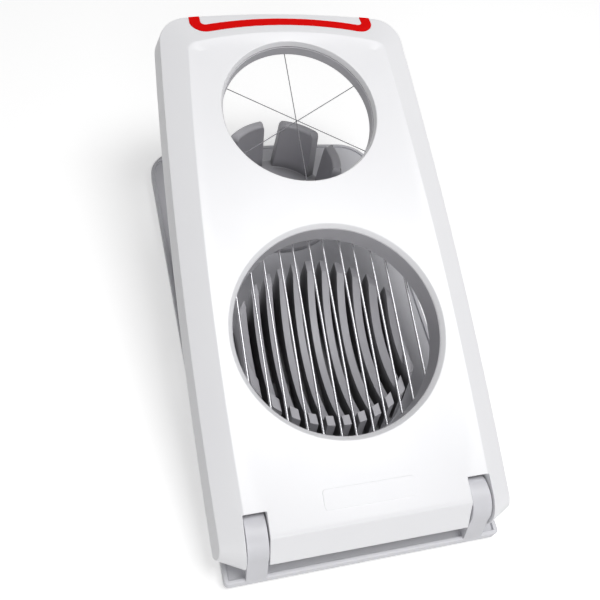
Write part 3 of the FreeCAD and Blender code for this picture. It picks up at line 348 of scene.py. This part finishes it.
# The grid's size is half its side, so this starts from a square of one millimetre.
bmesh.ops.create_grid(plate_bm, x_segments=1, y_segments=1, size=0.5 * MM)
bmesh.ops.scale(plate_bm, vec=(PLATE_WIDTH, PLATE_DEPTH, 1.0), verts=plate_bm.verts)
bmesh.ops.bevel(plate_bm, geom=plate_bm.verts[:], offset=PLATE_CORNER * MM,
                offset_type="OFFSET", segments=CORNER_STEPS, profile=0.5, affect="VERTICES",
                clamp_overlap=True, material=-1)
raised = bmesh.ops.extrude_face_region(plate_bm, geom=plate_bm.faces[:])["geom"]
top_verts = [part for part in raised if isinstance(part, bmesh.types.BMVert)]
bmesh.ops.translate(plate_bm, vec=(0, 0, (PLATE_RISE + PLATE_SINK) * MM), verts=top_verts)
bmesh.ops.recalc_face_normals(plate_bm, faces=plate_bm.faces)
rim = [edge for edge in plate_bm.edges if all(vert in top_verts for vert in edge.verts)]
bmesh.ops.bevel(plate_bm, geom=rim, offset=PLATE_EDGE * MM, offset_type="OFFSET",
                segments=EDGE_STEPS, profile=0.5, affect="EDGES", clamp_overlap=True,
                material=-1)
print("the plate's rim has", len(rim), "edges")

# %% [markdown]
# ## The plate's place
# The lid stands open at rest, so the plate is first placed as if the lid lay level, measured
# from the hinge, and is then turned about the hinge by the angle that the lid stands open.

# %% The plate on the lid
LID_OPEN = math.radians(18)
LID_TOP = 8.3
PLATE_REACH = 6.0

on_lid = Vector((0.0, PLATE_REACH, LID_TOP - PLATE_SINK)) * MM
lid_turn = Matrix.Rotation(LID_OPEN, 4, "X")
plate_place = Matrix.Translation(HINGE) @ lid_turn @ Matrix.Translation(on_lid)
bmesh.ops.transform(plate_bm, matrix=plate_place, verts=plate_bm.verts)
plate_mesh = bpy.data.meshes.new("bare_plate")
plate_bm.to_mesh(plate_mesh)
plate_bm.free()
plate_mesh.materials.append(polished_white_abs)
bare_plate = bpy.data.objects.new("bare_plate", plate_mesh)
scene.collection.objects.link(bare_plate)
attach(bare_plate, nodes["lid_cover"]["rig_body"])
print("the bare plate has", len(plate_mesh.polygons), "faces")

# %% [markdown]
# ## The floor
# The slicer stands on a white sweep in soft light. The floor is a plain pale matt sheet. For
# camera and mirror rays it also glows a little, so that it reads as white where no shadow falls
# on it, and it keeps the shadow. Brighter lamps would whiten it too, but would burn out the lid.

# %% Floor
FLOOR_HALF = 3.0
FLOOR_GLOW = 0.48

scene.view_settings.view_transform = "Standard"
floor_mesh = bpy.data.meshes.new("studio_floor")
floor_bm = bmesh.new()
bmesh.ops.create_grid(floor_bm, x_segments=1, y_segments=1, size=FLOOR_HALF)
floor_bm.to_mesh(floor_mesh)
floor_bm.free()
floor = bpy.data.objects.new("studio_floor", floor_mesh)
scene.collection.objects.link(floor)


def seen_directly(tree):
    """1 for rays from the camera, from a mirror or through glass, otherwise 0."""
    path = tree.nodes.new("ShaderNodeLightPath").outputs
    camera_or_mirror = add_node(tree, "ShaderNodeMath", {
        0: path["Is Camera Ray"], 1: path["Is Glossy Ray"]}, operation="MAXIMUM")
    any_of_them = add_node(tree, "ShaderNodeMath", {
        0: camera_or_mirror.outputs[0], 1: path["Is Transmission Ray"]}, operation="MAXIMUM")
    return any_of_them.outputs[0]


floor_material = bpy.data.materials.new("matt_white_sweep")
floor_material.use_nodes = True
floor_tree = floor_material.node_tree
floor_tree.nodes.clear()
matt = add_node(floor_tree, "ShaderNodeBsdfDiffuse", {"Color": linear("#e0e0e0")})
glow_level = add_node(floor_tree, "ShaderNodeMath", {
    0: seen_directly(floor_tree), 1: FLOOR_GLOW}, operation="MULTIPLY")
glow = add_node(floor_tree, "ShaderNodeEmission", {"Strength": glow_level.outputs[0]})
both = add_node(floor_tree, "ShaderNodeAddShader", {0: matt.outputs[0], 1: glow.outputs[0]})
add_node(floor_tree, "ShaderNodeOutputMaterial", {"Surface": both.outputs[0]})
floor_mesh.materials.append(floor_material)
print("the floor is", 2 * FLOOR_HALF, "m wide")

# %% [markdown]
# ## The world
# The room behind the sweep is white to the eye and in reflections, and lights the slicer only
# a little, so that the lamps make the shadows.

# %% World
WORLD_FILL, WORLD_SEEN = 0.16, 1.0

world = bpy.data.worlds.new("studio")
scene.world = world
world.use_nodes = True
world_tree = world.node_tree
world_tree.nodes.clear()
level = add_node(world_tree, "ShaderNodeMapRange", {
    "Value": seen_directly(world_tree), "To Min": WORLD_FILL, "To Max": WORLD_SEEN})
sky = add_node(world_tree, "ShaderNodeBackground", {
    "Color": linear("#ffffff"), "Strength": level.outputs["Result"]})
add_node(world_tree, "ShaderNodeOutputWorld", {"Surface": sky.outputs[0]})
print("the world fills with", WORLD_FILL, "of white")

# %% [markdown]
# ## The lamps
# Two square softboxes light the slicer, a main one overhead and to the right, which throws the
# soft shadow to the left, and a weaker one low at the hinge end, which fills the front.

# %% Lamps
LIT_MIDDLE = Vector((0.0, 0.0, 0.02))


def softbox(name, place, width, power):
    """Square area lamp that looks at the middle of the slicer, in metres and watts."""
    data = bpy.data.lights.new(name, "AREA")
    data.size = width
    data.energy = power
    lamp = bpy.data.objects.new(name, data)
    lamp.location = place
    lamp.rotation_euler = (LIT_MIDDLE - Vector(place)).to_track_quat("-Z", "Y").to_euler()
    scene.collection.objects.link(lamp)
    print(name, "gives", power, "W")


softbox("overhead_softbox", place=(0.20, -0.10, 0.78), width=0.40, power=3.8)
softbox("front_fill", place=(-0.15, -0.75, 0.40), width=0.50, power=2.3)
